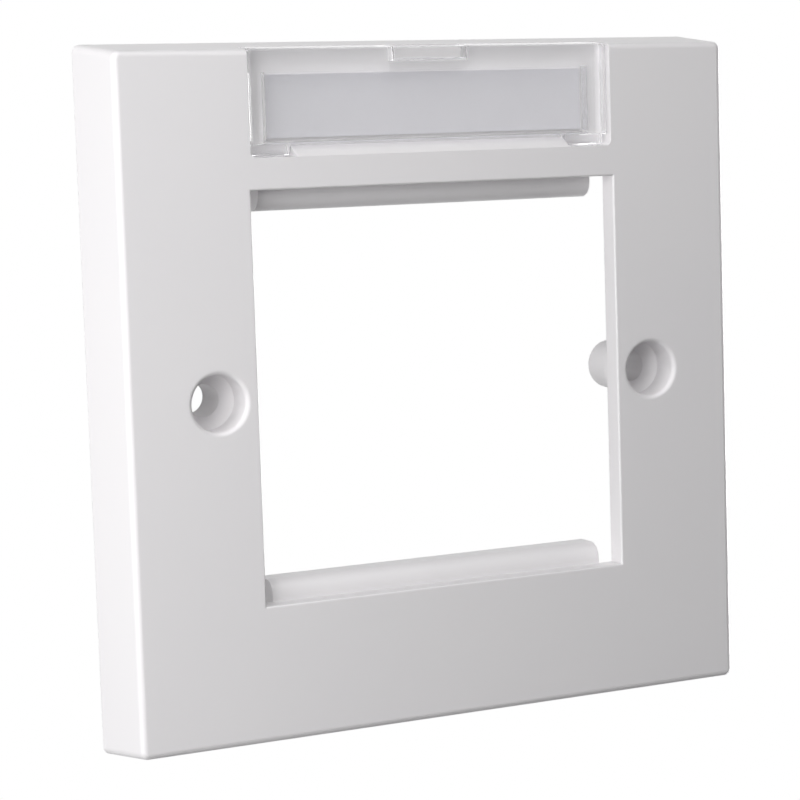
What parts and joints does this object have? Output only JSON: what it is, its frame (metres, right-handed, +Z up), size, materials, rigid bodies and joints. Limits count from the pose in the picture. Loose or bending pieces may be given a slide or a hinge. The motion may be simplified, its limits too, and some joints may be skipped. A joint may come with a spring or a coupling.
{
  "type": "keystone faceplate",
  "caption": "Square white wall plate with a square opening between rails for snap-in outlet modules, a screw hole either side and a clear hinged label cover.",
  "frame": {"origin": "midway between the two fixing holes, in the plane of the rear rim and boss feet that meets the wall", "axes": "+X to the right as the plate is seen, +Y into the wall, +Z up towards the label"},
  "size_m": [0.086, 0.0105, 0.086],
  "materials": {
    "moulding": "polished white thermoset moulding",
    "clear_cover": "clear polished",
    "paper": "matt uncoated paper"
  },
  "bodies": {
    "plate": {"faceplate": "moulding", "label_strip": "paper"},
    "cover": {"label_cover": "clear_cover"}
  },
  "joints": [
    {"name": "cover_hinge", "type": "hinge", "parent": "plate", "child": "cover", "pos_m": [0, -0.0082, 0.02975], "axis": [1, 0, 0], "range_deg": [0, 25]}
  ]
}
